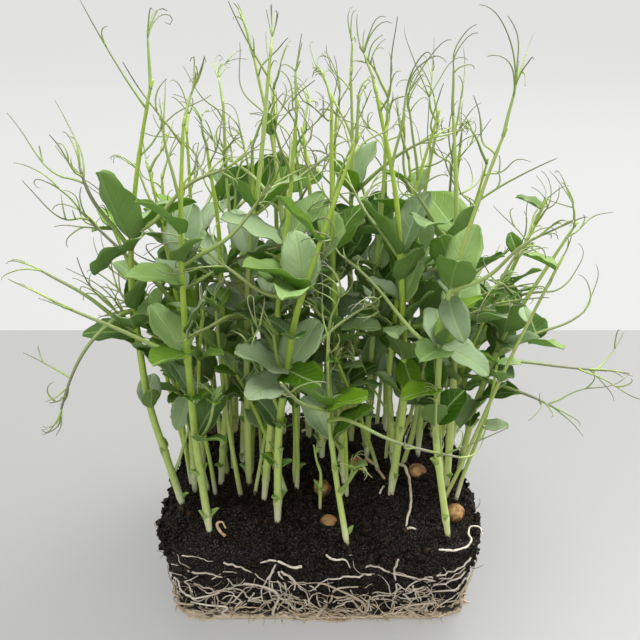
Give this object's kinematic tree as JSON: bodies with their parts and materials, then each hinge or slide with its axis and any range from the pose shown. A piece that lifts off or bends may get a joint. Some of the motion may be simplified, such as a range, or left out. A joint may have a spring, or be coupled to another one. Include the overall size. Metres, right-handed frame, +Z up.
{
  "type": "pea shoots",
  "caption": "Young pea plants in a slab of potting soil: thin upright stems with paired oval leaves and forked tendrils, on a felt of roots.",
  "frame": {"origin": "middle of the flat underside of the slab, where it rests", "axes": "+Z up along the stems, -Y the front, +X to the right seen from the front along the slab's long side"},
  "size_m": [0.2127, 0.1341, 0.2171],
  "materials": {
    "soil": "damp crumbly potting soil, matte",
    "roots": "felt of pale roots, matte",
    "shoots": "living leaf and stem, satin",
    "peas": "swollen seed coat, satin"
  },
  "bodies": {
    "root": {"soil_block": "soil", "root_mat": "roots", "pea_1": "peas", "pea_2": "peas", "pea_3": "peas", "pea_4": "peas", "pea_5": "peas", "pea_6": "peas", "shoot_01": "shoots", "shoot_02": "shoots", "shoot_03": "shoots", "shoot_04": "shoots", "shoot_05": "shoots", "shoot_06": "shoots", "shoot_07": "shoots", "shoot_08": "shoots", "shoot_09": "shoots", "shoot_10": "shoots", "shoot_11": "shoots", "shoot_12": "shoots", "shoot_13": "shoots", "shoot_14": "shoots", "shoot_15": "shoots", "shoot_16": "shoots", "shoot_17": "shoots", "shoot_18": "shoots", "shoot_19": "shoots", "shoot_20": "shoots", "shoot_21": "shoots", "shoot_22": "shoots", "shoot_23": "shoots", "shoot_24": "shoots", "shoot_25": "shoots", "shoot_26": "shoots", "shoot_27": "shoots", "shoot_28": "shoots", "shoot_29": "shoots", "shoot_30": "shoots", "shoot_31": "shoots", "shoot_32": "shoots", "shoot_33": "shoots"}
  },
  "joints": []
}
